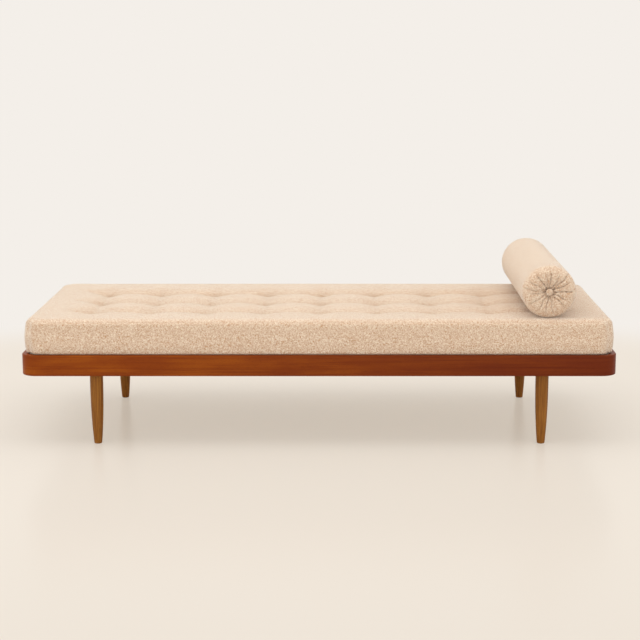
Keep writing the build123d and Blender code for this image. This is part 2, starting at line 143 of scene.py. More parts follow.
def put(tree, kind, inputs, **settings):
    """Add a node: settings go on the node itself, then each input is linked to a socket or set to a
    value."""
    node = tree.nodes.new("ShaderNode" + kind)
    for name, value in settings.items():
        setattr(node, name, value)
    for key, value in inputs.items():
        if isinstance(value, bpy.types.NodeSocket):
            tree.links.new(value, node.inputs[key])
        else:
            node.inputs[key].default_value = value
    return node


def new_finish(name):
    """Empty node material and its tree."""
    material = bpy.data.materials.new(name)
    material.use_nodes = True
    material.node_tree.nodes.clear()
    return material, material.node_tree


def oiled_teak():
    """Teak, planed and oiled: red brown with darker streaks about 5 mm wide and 300 mm long, slow
    patches of orange, open pores as short dark dashes, drawn coarser than real ones so that they show,
    and a satin film of oil that gives the eye a soft gloss. Painted light makes the rim orange and
    lighter at one end of the front rail, as if lit from the left, and a darker red at the other."""
    material, tree = new_finish("oiled_teak_planed")
    grain = put(tree, "Attribute", {}, attribute_name="grain").outputs["Vector"]
    # Painted light from the left: 1 at the front left joint, 0 half way round the rim.
    painted_left_light = put(tree, "Attribute", {}, attribute_name="painted_left_light").outputs["Fac"]
    streak_way = put(tree, "Mapping", {"Vector": grain, "Scale": 1 / teak_streak_size})
    streak = put(tree, "TexNoise", {
        "Vector": streak_way.outputs[0], "Scale": 1.0, "Detail": 5.0, "Distortion": 0.7,
    })
    patch_way = put(tree, "Mapping", {"Vector": grain, "Scale": 1 / teak_patch_size})
    patch = put(tree, "TexNoise", {"Vector": patch_way.outputs[0], "Scale": 1.0, "Detail": 2.0})
    pore_way = put(tree, "Mapping", {"Vector": grain, "Scale": 1 / teak_pore_size})
    pore = put(tree, "TexNoise", {"Vector": pore_way.outputs[0], "Scale": 1.0, "Detail": 1.0})
    streak_share = put(tree, "MapRange", {
        "Value": streak.outputs[0], "From Min": 0.26, "From Max": 0.56,
    })
    patch_share = put(tree, "MapRange", {
        "Value": patch.outputs[0], "From Min": 0.35, "From Max": 0.65,
    })
    pore_share = put(tree, "MapRange", {
        "Value": pore.outputs[0], "From Min": 0.62, "From Max": 0.72, "To Max": 0.45,
    })
    line, dark, light = (
        put(tree, "Mix", {"Factor": painted_left_light, "A": srgb(red), "B": srgb(orange)}, data_type="RGBA")
        for red, orange in (teak_streak_tones, teak_dark_tones, teak_light_tones)
    )
    ground = put(tree, "Mix", {
        "Factor": patch_share.outputs[0], "A": dark.outputs["Result"], "B": light.outputs["Result"],
    }, data_type="RGBA")
    streaked = put(tree, "Mix", {
        "Factor": streak_share.outputs[0], "A": line.outputs["Result"], "B": ground.outputs["Result"],
    }, data_type="RGBA")
    colour = put(tree, "Mix", {
        "Factor": pore_share.outputs[0], "A": streaked.outputs["Result"], "B": srgb(teak_pore_tone),
    }, data_type="RGBA")
    rough = put(tree, "MapRange", {"Value": streak.outputs[0], "To Min": 0.42, "To Max": 0.3})
    bump = put(tree, "Bump", {
        "Height": pore_share.outputs[0], "Strength": 0.25, "Distance": -teak_pore_depth,
    })
    shader = put(tree, "BsdfPrincipled", {
        "Base Color": colour.outputs["Result"], "Roughness": rough.outputs[0],
        "Normal": bump.outputs[0], "Specular IOR Level": 0.1,
    })
    put(tree, "OutputMaterial", {"Surface": shader.outputs[0]})
    return material


teak = oiled_teak()
rim_section = rounded_section(
    (-rail_thickness / 2, rail_low[2]), (rail_thickness / 2, rail_high[2]),
    (rim_outer_round, rim_outer_round, rim_inner_round, rim_inner_round),
)
corner_length = bend_x - joint_x + rim_bend * np.pi / 2 + bend_y - joint_y
rim_length = rim_marks[-1]
rim_start = 0.0
for node, length in (
    ("front_rail", 2 * joint_x), ("corner_front_right", corner_length),
    ("head_end_rail", 2 * joint_y), ("corner_rear_right", corner_length),
    ("rear_rail", 2 * joint_x), ("corner_rear_left", corner_length),
    ("foot_end_rail", 2 * joint_y), ("corner_front_left", corner_length),
):
    stations = np.linspace(rim_start, rim_start + length, int(length / rim_station) + 2)
    line, outward = rim_line(stations)
    across = line[:, None, :] + outward[:, None, :] * rim_section[None, :, :1]
    up = np.broadcast_to(rim_section[None, :, 1:], (*across.shape[:2], 1))
    piece = new_piece(
        "teak_" + node, np.concatenate((across, up), -1), tube_faces(len(stations), len(rim_section)),
    )
    # Past the rear rail the grain is counted back from the front left joint, where it runs on.
    grain_start = rim_length if rim_start > rim_length / 2 + joint_x else 0.0
    along = np.broadcast_to(stations[:, None, None] - grain_start, up.shape)
    depth = np.broadcast_to(rim_section[None, :, :1], up.shape)
    grain = piece.data.attributes.new("grain", "FLOAT_VECTOR", "POINT")
    grain.data.foreach_set("vector", np.concatenate((along, up, depth), -1).ravel())
    # Painted light from the left, as a cosine to the fourth power: 1 at the front left joint and 0 half
    # way round the rim.
    painted_left_light = piece.data.attributes.new("painted_left_light", "FLOAT", "POINT")
    painted_left_light.data.foreach_set("value", (np.cos(np.pi * along / rim_length) ** 4).ravel())
    piece.data.materials.append(teak)
    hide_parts(node)
    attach(piece, "base")
    rim_start += length

# Tenons: flat loose tongues of planed beech, hidden in the rim. Each is glued into a mortise in the end
# of a rail and into another in the bent corner beside it.
beech_line_size = np.array((33.3, 33.3, 5)) * mm
wood_line_relief = 0.4 * mm
wood_pores_per_line = 6.0


def planed_wood(name, pale, dark, line_size):
    """Straight-grained wood off the planer: pale ground with darker growth lines a few millimetres
    apart, stretched along the grain, and fine pores; matt, because it has no finish."""
    material, tree = new_finish(name)
    place = put(tree, "TexCoord", {}).outputs["Object"]
    line_way = put(tree, "Mapping", {"Vector": place, "Scale": 1 / line_size})
    line = put(tree, "TexNoise", {
        "Vector": line_way.outputs[0], "Scale": 1.0, "Detail": 4.0, "Distortion": 0.9,
    })
    line_share = put(tree, "MapRange", {
        "Value": line.outputs[0], "From Min": 0.38, "From Max": 0.64,
    })
    pore = put(tree, "TexNoise", {
        "Vector": line_way.outputs[0], "Scale": wood_pores_per_line, "Detail": 2.0,
    })
    pore_share = put(tree, "MapRange", {
        "Value": pore.outputs[0], "From Min": 0.55, "From Max": 0.75, "To Max": 0.35,
    })
    ground = put(tree, "Mix", {
        "Factor": line_share.outputs[0], "A": srgb(dark), "B": srgb(pale),
    }, data_type="RGBA")
    colour = put(tree, "Mix", {
        "Factor": pore_share.outputs[0], "A": ground.outputs["Result"], "B": srgb(dark),
    }, data_type="RGBA")
    bump = put(tree, "Bump", {
        "Height": line.outputs[0], "Strength": 0.2, "Distance": wood_line_relief,
    })
    shader = put(tree, "BsdfPrincipled", {
        "Base Color": colour.outputs["Result"], "Roughness": 0.55, "Normal": bump.outputs[0],
    })
    put(tree, "OutputMaterial", {"Surface": shader.outputs[0]})
    return material


def dress(node, material):
    """Give a CAD node that keeps its shape a finish of its own."""
    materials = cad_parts[node].data.materials
    materials.clear()
    materials.append(material)


dress("corner_tenons", planed_wood("beech_planed", "D9B48A", "BE9466", beech_line_size))

# Base: pine ledgers screwed inside the long rails, bearers that tie the rails and carry the legs, and
# fourteen slats across, all planed and left bare. Grain runs along each piece.
pine_long_size = np.array((250, 5.88, 5.88)) * mm
pine_cross_size = np.array((5.88, 250, 5.88)) * mm
slat_count = 14
pine_long = planed_wood("pine_planed_lengthwise", "DDB981", "C39555", pine_long_size)
pine_cross = planed_wood("pine_planed_crosswise", "E0BE88", "C69A5C", pine_cross_size)
for node in ("front_ledger", "rear_ledger"):
    dress(node, pine_long)
for node in ("leg_bearer_left", "leg_bearer_right", "centre_bearer"):
    dress(node, pine_cross)
for number in range(1, slat_count + 1):
    dress(f"slat_{number:02d}", pine_cross)

# Fixings: countersunk wood screws in the ledgers, bearers and slats, and hanger bolts with tee nuts that
# hold the legs. All are of steel, plated with bright zinc.
zinc_spangle = 1.43 * mm


def zinc_plate():
    """Zinc-plated steel: a grey metal with faint cloudy spangle and a soft, slightly uneven gloss."""
    material, tree = new_finish("steel_zinc_plated")
    place = put(tree, "TexCoord", {}).outputs["Object"]
    cloud = put(tree, "TexNoise", {"Vector": place, "Scale": 1 / zinc_spangle, "Detail": 3.0})
    colour = put(tree, "Mix", {
        "Factor": cloud.outputs[0], "A": srgb("B9B7AE"), "B": srgb("D6D5CE"),
    }, data_type="RGBA")
    rough = put(tree, "MapRange", {"Value": cloud.outputs[0], "To Min": 0.28, "To Max": 0.48})
    shader = put(tree, "BsdfPrincipled", {
        "Base Color": colour.outputs["Result"], "Roughness": rough.outputs[0], "Metallic": 1.0,
    })
    put(tree, "OutputMaterial", {"Surface": shader.outputs[0]})
    return material


zinc = zinc_plate()
for node in ("ledger_screws", "bearer_screws", "slat_screws", "hanger_bolts", "tee_nuts"):
    dress(node, zinc)

# Legs: four turned legs of oiled oak, a long belly that narrows to a small sole with its edge broken,
# screwed up into the bearers on hanger bolts. Knee and belly are given by height and radius.
leg_knee = (66 * mm, 17.5 * mm)
leg_belly = (185 * mm, 21 * mm)
sole_radius = 12.4 * mm
sole_chamfer = 1.5 * mm
leg_rings = 64
leg_segments = 56
oak_line_size = np.array((3.85, 3.85, 143)) * mm
oak_pore_size = np.array((0.714, 0.714, 11.1)) * mm
oak_pore_depth = 0.3 * mm


def turned_leg(foot, height):
    """Surface of revolution: the radius is the cubic through sole, knee, belly and top, with the lowest
    ring drawn in by the chamfer. Rows are heights and columns are angles."""
    heights = (0, leg_knee[0], leg_belly[0], height)
    curve = np.polyfit(heights, (sole_radius, leg_knee[1], leg_belly[1], leg_belly[1]), 3)
    level = np.concatenate(([0], np.linspace(sole_chamfer, height, leg_rings)))
    radius = np.polyval(curve, level)
    radius[0] -= sole_chamfer
    angle = np.linspace(0, 2 * np.pi, leg_segments, endpoint=False)
    ring = np.stack((np.cos(angle), np.sin(angle)), -1)
    plan = foot + radius[:, None, None] * ring[None]
    up = np.broadcast_to(level[:, None, None], (*plan.shape[:2], 1))
    return np.concatenate((plan, up), -1)


def oiled_oak():
    """Oak, turned and oiled: olive brown with darker growth lines about 4 mm apart up the leg and dark
    pores, drawn coarser than real ones so that they show; a duller satin than varnish, because the oil
    soaks in."""
    material, tree = new_finish("oiled_oak_turned")
    place = put(tree, "TexCoord", {}).outputs["Object"]
    line_way = put(tree, "Mapping", {"Vector": place, "Scale": 1 / oak_line_size})
    line = put(tree, "TexNoise", {
        "Vector": line_way.outputs[0], "Scale": 1.0, "Detail": 4.0, "Distortion": 0.5,
    })
    pore_way = put(tree, "Mapping", {"Vector": place, "Scale": 1 / oak_pore_size})
    pore = put(tree, "TexNoise", {"Vector": pore_way.outputs[0], "Scale": 1.0, "Detail": 1.0})
    line_share = put(tree, "MapRange", {
        "Value": line.outputs[0], "From Min": 0.36, "From Max": 0.66,
    })
    pore_share = put(tree, "MapRange", {
        "Value": pore.outputs[0], "From Min": 0.58, "From Max": 0.7, "To Max": 0.3,
    })
    ground = put(tree, "Mix", {
        "Factor": line_share.outputs[0], "A": srgb("82501F"), "B": srgb("A06A2A"),
    }, data_type="RGBA")
    colour = put(tree, "Mix", {
        "Factor": pore_share.outputs[0], "A": ground.outputs["Result"], "B": srgb("583210"),
    }, data_type="RGBA")
    bump = put(tree, "Bump", {
        "Height": pore_share.outputs[0], "Strength": 0.2, "Distance": -oak_pore_depth,
    })
    shader = put(tree, "BsdfPrincipled", {
        "Base Color": colour.outputs["Result"], "Roughness": 0.38, "Normal": bump.outputs[0],
        "Specular IOR Level": 0.16,
    })
    put(tree, "OutputMaterial", {"Surface": shader.outputs[0]})
    return material


oak = oiled_oak()
for node in ("leg_front_left", "leg_front_right", "leg_rear_left", "leg_rear_right"):
    leg_low, leg_high = np.array(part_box(node))
    points = turned_leg((leg_low[:2] + leg_high[:2]) / 2, leg_high[2])
    faces = [face[::-1] for face in tube_faces(*points.shape[:2])]
    piece = new_piece("oak_" + node, points, faces)
    piece.data.materials.append(oak)
    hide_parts(node)
    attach(piece, "base")

# Mattress: foam in a cover of looped wool boucle, seamed round the top edge and tied through in three
# rows of nine, so that it swells into soft pillows. A tongue below sits inside the rim, and the sides
# swell out over its top edge.
mattress_low, mattress_high = np.array(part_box("mattress_cover"))
mattress_half = mattress_high[:2]
rail_top = rail_high[2]
# Form: the rounds of the edges along x, y and z, the corners in plan, and the cell of the lattice.
mattress_round = np.array((26, 36, 16)) * mm
mattress_rear_round = np.array((26, 20, 16)) * mm
mattress_corner = 52 * mm
mattress_cell = 13 * mm
# Sides: how far the tongue and the seam are drawn in, and how far the cloth bulges between.
tongue_draw = np.array((8, 13)) * mm
flare_height = 6 * mm
side_bulge = 3.5 * mm
seam_draw = 1.5 * mm
# How much painted shade darkens the seam line.
seam_shade = 0.16
# Levels of the lattice in each stretch, from the tongue up to the rounded top edge.
flare_top = rail_top + flare_height
round_bottom = mattress_high[2] - mattress_round[2]
tongue_levels, flare_levels, side_levels, round_levels = 2, 4, 6, 4
# Top: where the ties are, how deep they draw the creases and themselves, and how much painted shade
# darkens a tuft.
tie_low, tie_high = np.array(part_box("tuft_ties"))
felt_half = 8 * mm
column_count, row_count = 9, 3
tuft_columns = np.linspace(tie_low[0] + felt_half, tie_high[0] - felt_half, column_count)
tuft_rows = np.linspace(tie_low[1] + felt_half, tie_high[1] - felt_half, row_count)
row_crease = 15 * mm
column_crease = 11 * mm
pillow_power = 2.3
valley_fade = 150 * mm
tuft_pull = 9 * mm
tuft_pull_reach = 22 * mm
tuft_shade = 0.6
tuft_shade_power = 1.5
# Swelling: the pressure and how long it blows, how far a point may go, and how much is held still.
swell_pressure = 4.0
swell_frames = 20
swell_cap = 3 * mm
tie_hold = 9 * mm
tongue_hold = 2 * mm
# Stands in for a length of nought, so that nothing is divided by it.
no_length = 1e-9
# A crease angle, in degrees, that no edge reaches.
all_smooth = 180
# Cloth: the sizes of a loop, of its yarn and of the relief, and the tones: the gaps, painted darker with
# the loops' shade, the loop tops, and the painted shade of folds.
boucle_loop = 3.03 * mm
boucle_yarn = 1.25 * mm
boucle_relief = 2 * mm
boucle_gap_tone = "C99C76"
boucle_loop_tone = "F8E8D4"
boucle_painted_shade_tone = "94683F"


def box_skin(levels):
    """Points and quads of the skin of a box on a lattice: each lattice point on a face is numbered
    once, so that faces share their edges, and every face is wound to look outwards."""
    place = np.stack(np.meshgrid(*levels, indexing="ij"), -1)
    ends = np.array([(level[0], level[-1]) for level in levels])
    on_skin = ((place == ends[:, 0]) | (place == ends[:, 1])).any(-1)
    number = np.full(on_skin.shape, -1)
    number[on_skin] = np.arange(on_skin.sum())
    quads = []
    for axis in range(3):
        for side in (0, -1):
            face = np.take(number, side, axis)
            corners = (face[:-1, :-1], face[1:, :-1], face[1:, 1:], face[:-1, 1:])
            quad = np.stack(corners, -1).reshape(-1, 4)
            quads.append(quad[:, ::-1] if (side == 0) != (axis == 1) else quad)
    return place[on_skin], np.concatenate(quads)


def rounded_edges(skin):
    """Box points with the top and upright edges rounded: a point outside an inner box, which is smaller
    by the rounds, goes no further than an ellipsoid about the nearest point of that box. The rear half
    has rounds of its own, and the edges of the underside stay square."""
    edge_round = np.where(skin[:, 1:2] > 0, mattress_rear_round, mattress_round)
    inner = mattress_high - edge_round
    core = np.clip(skin, -inner * (1, 1, 0), inner)
    away = (skin - core) / edge_round
    reach = np.linalg.norm(away, axis=1, keepdims=True)
    return core + edge_round * away / np.maximum(reach, 1)


def rounded_plan(skin):
    """Points with the corners of the plan as arcs: the square past a corner's start is pressed into a
    quarter circle, by scaling each point's way from the start by its longer side over its length."""
    size = np.abs(skin[:, :2])
    start = mattress_half - mattress_corner
    beyond = np.clip(size - start, 0, None)
    length = np.linalg.norm(beyond, axis=1, keepdims=True)
    to_arc = beyond.max(1, keepdims=True) / np.maximum(length, no_length)
    plan = np.sign(skin[:, :2]) * (np.minimum(size, start) + beyond * to_arc)
    return np.column_stack((plan, skin[:, 2]))


def drawn_sides(skin, on_seam):
    """Points scaled in plan: drawn in along a quarter circle where the tongue flares out over the rim,
    drawn in by the stitches at the seam, and bulged out as a sine over the height of the sides."""
    above_rim = skin[:, 2:] - rail_top
    flare = np.clip(above_rim / flare_height, 0, 1)
    up_side = np.clip(above_rim / (mattress_high[2] - rail_top), 0, 1)
    draw = tongue_draw * (1 - np.sqrt(1 - (1 - flare) ** 2))
    draw += seam_draw * on_seam[:, None] - side_bulge * np.sin(np.pi * up_side)
    return np.column_stack((skin[:, :2] * (1 - draw / mattress_half), skin[:, 2]))


def ease(share):
    """Smooth step from 0 to 1: three squares less two cubes of the share, held at the ends."""
    share = np.clip(share, 0, 1)
    return share * share * (3 - 2 * share)


def to_nearest(value, places):
    """Distance from each value to the nearest of the evenly spaced places."""
    pitch = places[1] - places[0]
    nearest = np.clip(np.round((value - places[0]) / pitch), 0, len(places) - 1)
    return np.abs(value - places[0] - nearest * pitch)


def tufted_dip(x, y):
    """How far the top is drawn down: one less the distance to the row of ties as a share of half the
    pitch, raised to a power, gives domed pillows with a crease between; the same across the columns;
    and at each tie a funnel that dies off exponentially. Creases fade out towards the borders."""
    from_column = to_nearest(x, tuft_columns)
    from_row = to_nearest(y, tuft_rows)
    half_column = (tuft_columns[1] - tuft_columns[0]) / 2
    half_row = (tuft_rows[1] - tuft_rows[0]) / 2
    past_column = 1 - ease((np.abs(x) - tuft_columns[-1]) / valley_fade)
    past_row = 1 - ease((np.abs(y) - tuft_rows[-1]) / valley_fade)
    row_part = np.clip(1 - from_row / half_row, 0, 1) ** pillow_power * past_column
    column_part = np.clip(1 - from_column / half_column, 0, 1) ** pillow_power * past_row
    funnel = np.exp(-np.hypot(from_column, from_row) / tuft_pull_reach)
    return row_crease * row_part + column_crease * column_part + tuft_pull * funnel


def swell(piece, held):
    """Points of a cloth blown up with gravity off while the held points stay: each point keeps its way
    from rest but goes no further along it than the cap."""
    rest = np.empty(len(piece.data.vertices) * 3)
    piece.data.vertices.foreach_get("co", rest)
    rest = rest.reshape(-1, 3)
    group = piece.vertex_groups.new(name="held")
    group.add(np.flatnonzero(held).tolist(), 1.0, "REPLACE")
    cloth = piece.modifiers.new("swell", "CLOTH")
    cloth.settings.vertex_group_mass = "held"
    cloth.settings.use_pressure = True
    cloth.settings.uniform_pressure_force = swell_pressure
    cloth.settings.effector_weights.gravity = 0
    cloth.point_cache.frame_start = 1
    cloth.point_cache.frame_end = swell_frames
    for moment in range(1, swell_frames + 1):
        bpy.context.scene.frame_set(moment)
    moved = np.empty(rest.size)
    blown = piece.evaluated_get(bpy.context.evaluated_depsgraph_get())
    blown.data.vertices.foreach_get("co", moved)
    way = moved.reshape(-1, 3) - rest
    length = np.linalg.norm(way, axis=1, keepdims=True)
    piece.modifiers.remove(cloth)
    piece.vertex_groups.remove(group)
    bpy.context.scene.frame_set(1)
    return rest + way * np.minimum(1, swell_cap / np.maximum(length, no_length))


def wool_boucle():
    """Wool boucle, woven from looped yarn: loops about 3 mm across that shade each other, painted pale
    where they catch the light and warm in the gaps, a halo of fibre that pales the cloth at a low angle,
    and no gloss. Cloth drawn into a fold, where light hardly reaches, is darkened with painted shade by
    an attribute of the piece, which is nought where a piece has none."""
    material, tree = new_finish("wool_boucle_woven")
    place = put(tree, "TexCoord", {}).outputs["Object"]
    loop = put(tree, "TexNoise", {
        "Vector": place, "Scale": 1 / boucle_loop, "Detail": 1.0, "Roughness": 0.5, "Distortion": 0.9,
    })
    yarn = put(tree, "TexNoise", {
        "Vector": place, "Scale": 1 / boucle_yarn, "Detail": 2.0, "Roughness": 0.6,
    })
    height = put(tree, "Mix", {"Factor": 0.25, "A": loop.outputs[0], "B": yarn.outputs[0]})
    shade = put(tree, "MapRange", {
        "Value": height.outputs["Result"], "From Min": 0.38, "From Max": 0.6,
    })
    loops = put(tree, "Mix", {
        "Factor": shade.outputs[0], "A": srgb(boucle_gap_tone), "B": srgb(boucle_loop_tone),
    }, data_type="RGBA")
    # Painted shade in folds, read from each piece's attribute.
    fold_painted_shade = put(tree, "Attribute", {}, attribute_name="fold_painted_shade").outputs["Fac"]
    colour = put(tree, "Mix", {
        "Factor": fold_painted_shade, "A": loops.outputs["Result"], "B": srgb(boucle_painted_shade_tone),
    }, data_type="RGBA")
    bump = put(tree, "Bump", {
        "Height": shade.outputs[0], "Strength": 0.6, "Distance": boucle_relief,
    })
    shader = put(tree, "BsdfPrincipled", {
        "Base Color": colour.outputs["Result"], "Roughness": 0.95, "Normal": bump.outputs[0],
        "Specular IOR Level": 0.1, "Sheen Weight": 1.0, "Sheen Roughness": 0.4,
        "Sheen Tint": srgb("FFFBF3"),
    })
    put(tree, "OutputMaterial", {"Surface": shader.outputs[0]})
    return material


boucle = wool_boucle()
across_x, across_y = (
    np.linspace(-half, half, 2 * round(half / mattress_cell) + 1) for half in mattress_half
)
levels = np.concatenate((
    np.linspace(mattress_low[2], rail_top, tongue_levels, endpoint=False),
    np.linspace(rail_top, flare_top, flare_levels, endpoint=False),
    np.linspace(flare_top, round_bottom, side_levels, endpoint=False),
    np.linspace(round_bottom, mattress_high[2], round_levels + 1),
))
skin, mattress_faces = box_skin((across_x, across_y, levels))
on_seam = skin[:, 2] == levels[-1 - round_levels // 2]
skin = drawn_sides(rounded_plan(rounded_edges(skin)), on_seam)
on_top = ease((skin[:, 2] - round_bottom) / mattress_round[2])
dip = on_top ** 2 * tufted_dip(skin[:, 0], skin[:, 1])
skin[:, 2] -= dip
mattress = new_piece("boucle_mattress", skin, mattress_faces.tolist(), crease=all_smooth)
from_tie = np.hypot(to_nearest(skin[:, 0], tuft_columns), to_nearest(skin[:, 1], tuft_rows))
held = (skin[:, 2] < rail_top + tongue_hold) | ((from_tie < tie_hold) & (on_top > 0.5))
skin = swell(mattress, held)
skin[:, 2] = np.minimum(skin[:, 2], mattress_high[2])
mattress.data.vertices.foreach_set("co", skin.ravel())
# Painted shade: darker down the creases and funnels of the tufts, most at the deepest dip, and along the
# seam.
mattress_painted_shade = tuft_shade * (dip / dip.max()) ** tuft_shade_power + seam_shade * on_seam
fold_painted_shade = mattress.data.attributes.new("fold_painted_shade", "FLOAT", "POINT")
fold_painted_shade.data.foreach_set("value", mattress_painted_shade)
mattress.data.materials.append(boucle)
finer = mattress.modifiers.new("finer", "SUBSURF")
finer.levels = 1
finer.render_levels = 1
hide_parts("mattress_cover", "mattress_core")
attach(mattress, "mattress")

# Tuft buttons: a small domed button covered in the same boucle, sunk in each tuft. A tape sewn to it
# runs down through the foam to a square of felt, and pulls the tuft in.
tuft_button_radius = 6.5 * mm
tuft_button_height = 5 * mm
tuft_button_rings = 7
tuft_button_segments = 20
tuft_button_crease = 80
dome_crown_angle = 0.12
dome_under_radius = (0.9, 0.3)
dome_under_height = (-0.25, -0.3)


def dome(radius, height, rings, segments):
    """Covered button: the radius goes as the sine and the height as the cosine of an angle that runs
    from the crown to the edge; then two rings go in underneath, at shares of the radius and the height.
    Rows are rings and columns are angles."""
    fall = np.linspace(dome_crown_angle, np.pi / 2, rings)
    ring_radius = radius * np.concatenate((np.sin(fall), dome_under_radius))
    level = height * np.concatenate((np.cos(fall), dome_under_height))
    angle = np.linspace(0, 2 * np.pi, segments, endpoint=False)
    plan = ring_radius[:, None, None] * np.stack((np.cos(angle), np.sin(angle)), -1)[None]
    up = np.broadcast_to(level[:, None, None], (*plan.shape[:2], 1))
    return np.concatenate((plan, up), -1)


def repeated(points, faces, places):
    """Copies of one shape set at places, as one array of points and one list of faces."""
    every = places[:, None, :] + points.reshape(1, -1, 3)
    count = points.size // 3
    return every.reshape(-1, 3), [
        [corner + copy * count for corner in face] for copy in range(len(places)) for face in faces
    ]


tuft_places = np.stack(np.meshgrid(tuft_columns, tuft_rows), -1).reshape(-1, 2)
tuft_seat = mattress_high[2] - row_crease - column_crease - tuft_pull
button = dome(tuft_button_radius, tuft_button_height, tuft_button_rings, tuft_button_segments)
button_places = np.column_stack((tuft_places, np.full(len(tuft_places), tuft_seat)))
points, faces = repeated(button, tube_faces(*button.shape[:2]), button_places)
tuft_buttons = new_piece("boucle_tuft_buttons", points, faces, crease=tuft_button_crease)
tuft_buttons.data.materials.append(boucle)
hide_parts("tuft_ties")
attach(tuft_buttons, "mattress")

# Felts: squares cut from pressed grey wool felt and sunk in the mattress's underside. The tapes of the
# tufts are knotted there, and the felt keeps them from pulling through.
felt_thickness = 3 * mm
felt_proud = 0.2 * mm
felt_mottle = 1.11 * mm
felt_relief = 0.5 * mm


def pressed_felt():
    """Wool felt, pressed: grey brown with a fine mottle of matted fibre, about 1 mm, and no gloss."""
    material, tree = new_finish("wool_felt_pressed")
    place = put(tree, "TexCoord", {}).outputs["Object"]
    fibre = put(tree, "TexNoise", {
        "Vector": place, "Scale": 1 / felt_mottle, "Detail": 4.0, "Roughness": 0.7,
    })
    colour = put(tree, "Mix", {
        "Factor": fibre.outputs[0], "A": srgb("6E655A"), "B": srgb("978C7E"),
    }, data_type="RGBA")
    bump = put(tree, "Bump", {
        "Height": fibre.outputs[0], "Strength": 0.4, "Distance": felt_relief,
    })
    shader = put(tree, "BsdfPrincipled", {
        "Base Color": colour.outputs["Result"], "Roughness": 0.95, "Normal": bump.outputs[0],
        "Specular IOR Level": 0.1,
    })
    put(tree, "OutputMaterial", {"Surface": shader.outputs[0]})
    return material


felt_side = np.array((-felt_half, felt_half))
felt_levels = mattress_low[2] - felt_proud + np.array((0, felt_thickness))
felt, felt_faces = box_skin((felt_side, felt_side, felt_levels))
felt_places = np.column_stack((tuft_places, np.zeros(len(tuft_places))))
points, faces = repeated(felt, felt_faces.tolist(), felt_places)
felts = new_piece("felt_tuft_squares", points, faces)
felts.data.materials.append(pressed_felt())
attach(felts, "mattress")

# Bolster: a round roll of the same boucle, filled tight, that lies loose across the mattress. Its cover
# is sewn as a tube, and the ends are gathered in pleats to a covered button.
bolster_low, bolster_high = np.array(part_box("bolster_cover"))
bolster_radius = (bolster_high[0] - bolster_low[0]) / 2
bolster_axis = (bolster_low + bolster_high)[[0, 2]] / 2
bolster_half = bolster_high[1]
bolster_tallness = (bolster_high[2] - bolster_low[2]) / (2 * bolster_radius)
rim_round = 26 * mm
crest_radius = 52 * mm
seat_radius = 9 * mm
seat_depth = 10 * mm
end_steps = 26
body_rings = 96
bolster_segments = 320
pleat_seed = 7
pleat_count = 17
pleat_depth = 8 * mm
pleat_most = 1.15
# How much painted shade darkens the deepest pleats.
pleat_shade = 0.42
pleat_falloff = 1.2
pleat_fade_from = 0.65
rim_fade_from = 0.3
# Ranges that each pleat draws from: place as a share of the pitch, strength, length as a share of the
# roll's radius, width, sway to the side, and where its waves start.
pleat_shift = (-0.3, 0.3)
pleat_strength = (0.55, 1.2)
pleat_length = (0.8, 1.15)
pleat_width = np.array((1.8, 2.9)) * mm
pleat_sway = np.array((0.8, 2.0)) * mm
wave_start = (0, 6)
sway_wave = 7 * mm
bead_wave = 2.6 * mm
bead_share = 0.25


def end_profile(steps):
    """Radius and set-back of a bolster end, from the button seat out to the rim: a sine slope up from
    the seat to the crest, then a quarter ellipse over to the roll's full radius."""
    rise = np.linspace(0, 1, steps)
    slope_radius = seat_radius + (crest_radius - seat_radius) * rise
    slope_back = seat_depth * (1 - np.sin(rise * np.pi / 2))
    turn = np.linspace(0, np.pi / 2, steps)[1:]
    round_radius = crest_radius + (bolster_radius - crest_radius) * np.sin(turn)
    round_back = rim_round * (1 - np.cos(turn))
    return np.concatenate((slope_radius, round_radius)), np.concatenate((slope_back, round_back))


def gathers(radius, lengthways, angle):
    """How deep the pleats are, ring by angle, as a share. A pleat is a line out from the button that
    sways as a sine of the radius. Across the line the depth dies off exponentially. Along it the depth
    beads as a finer sine, and eases out towards the pleat's end and over the rim."""
    chance = np.random.default_rng(pleat_seed)
    back = bolster_half - np.abs(lengthways)
    on_face = 1 - ease((back - rim_fade_from * rim_round) / rim_round)
    crease = np.zeros((len(radius), len(angle)))
    for end in (-1, 1):
        on_end = (lengthways * end > 0)[:, None]
        for number in range(pleat_count):
            centre = 2 * np.pi * (number + chance.uniform(*pleat_shift)) / pleat_count
            strength = chance.uniform(*pleat_strength)
            length = chance.uniform(*pleat_length) * bolster_radius
            width = chance.uniform(*pleat_width)
            sway = chance.uniform(*pleat_sway) * np.sin(radius / sway_wave + chance.uniform(*wave_start))
            bead = bead_share * np.sin(radius / bead_wave + chance.uniform(*wave_start))
            off = (angle - centre + np.pi) % (2 * np.pi) - np.pi
            aside = np.abs(off[None, :] * radius[:, None] + sway[:, None])
            across = np.exp(-(aside / width) ** pleat_falloff)
            fade_from = pleat_fade_from * length
            fade = (1 - ease((radius - fade_from) / (length - fade_from))) * on_face
            crease += on_end * strength * across * (fade * (1 - bead_share + bead))[:, None]
    return crease


end_radius, end_back = end_profile(end_steps)
body = np.linspace(-1, 1, body_rings)[1:-1] * (bolster_half - rim_round)
radius = np.concatenate((end_radius, np.full(len(body), bolster_radius), end_radius[::-1]))
lengthways = np.concatenate((end_back - bolster_half, body, bolster_half - end_back[::-1]))
angle = np.linspace(0, 2 * np.pi, bolster_segments, endpoint=False)
crease = gathers(radius, lengthways, angle)
